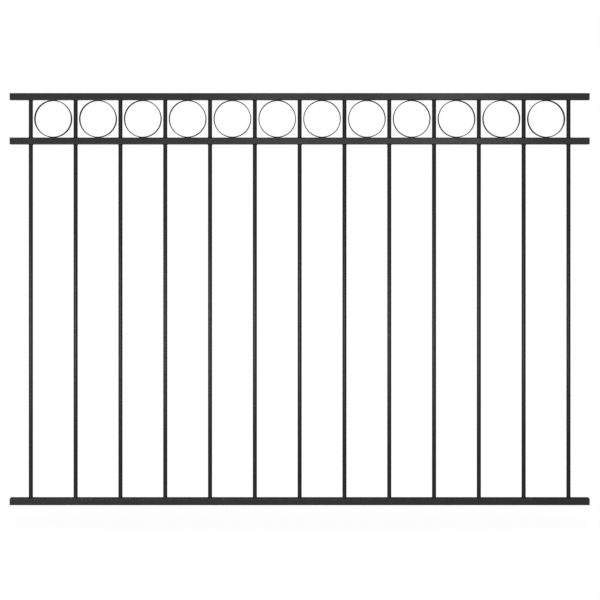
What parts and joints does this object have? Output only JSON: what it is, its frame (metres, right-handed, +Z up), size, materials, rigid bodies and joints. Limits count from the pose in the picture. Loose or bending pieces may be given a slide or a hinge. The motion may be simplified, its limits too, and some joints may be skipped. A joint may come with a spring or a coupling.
{
  "type": "steel fence panel",
  "caption": "Flat garden fence panel: round pickets between square rails, with a row of rolled rings under the top rail; it closes the space between two posts.",
  "frame": {"origin": "centre of the bottom rail's left end face, where the panel meets its post", "axes": "+X along the rails towards the right end, +Y from the front of the panel to its back, +Z up the pickets"},
  "size_m": [1.7, 0.02, 1.208],
  "materials": {
    "rail_powder_coat": "satin black powder coat with a fine texture",
    "picket_powder_coat": "satin black powder coat with a fine texture",
    "ring_powder_coat": "satin black powder coat with a fine texture",
    "cap_plastic": "moulded black polyethylene"
  },
  "bodies": {
    "root": {"bottom_rail": "rail_powder_coat", "middle_rail": "rail_powder_coat", "top_rail": "rail_powder_coat", "picket_01": "picket_powder_coat", "picket_02": "picket_powder_coat", "picket_03": "picket_powder_coat", "picket_04": "picket_powder_coat", "picket_05": "picket_powder_coat", "picket_06": "picket_powder_coat", "picket_07": "picket_powder_coat", "picket_08": "picket_powder_coat", "picket_09": "picket_powder_coat", "picket_10": "picket_powder_coat", "picket_11": "picket_powder_coat", "picket_12": "picket_powder_coat", "picket_13": "picket_powder_coat", "rings": "ring_powder_coat", "bottom_rail_left_cap": "cap_plastic", "bottom_rail_right_cap": "cap_plastic", "middle_rail_left_cap": "cap_plastic", "middle_rail_right_cap": "cap_plastic", "top_rail_left_cap": "cap_plastic", "top_rail_right_cap": "cap_plastic"}
  },
  "joints": []
}
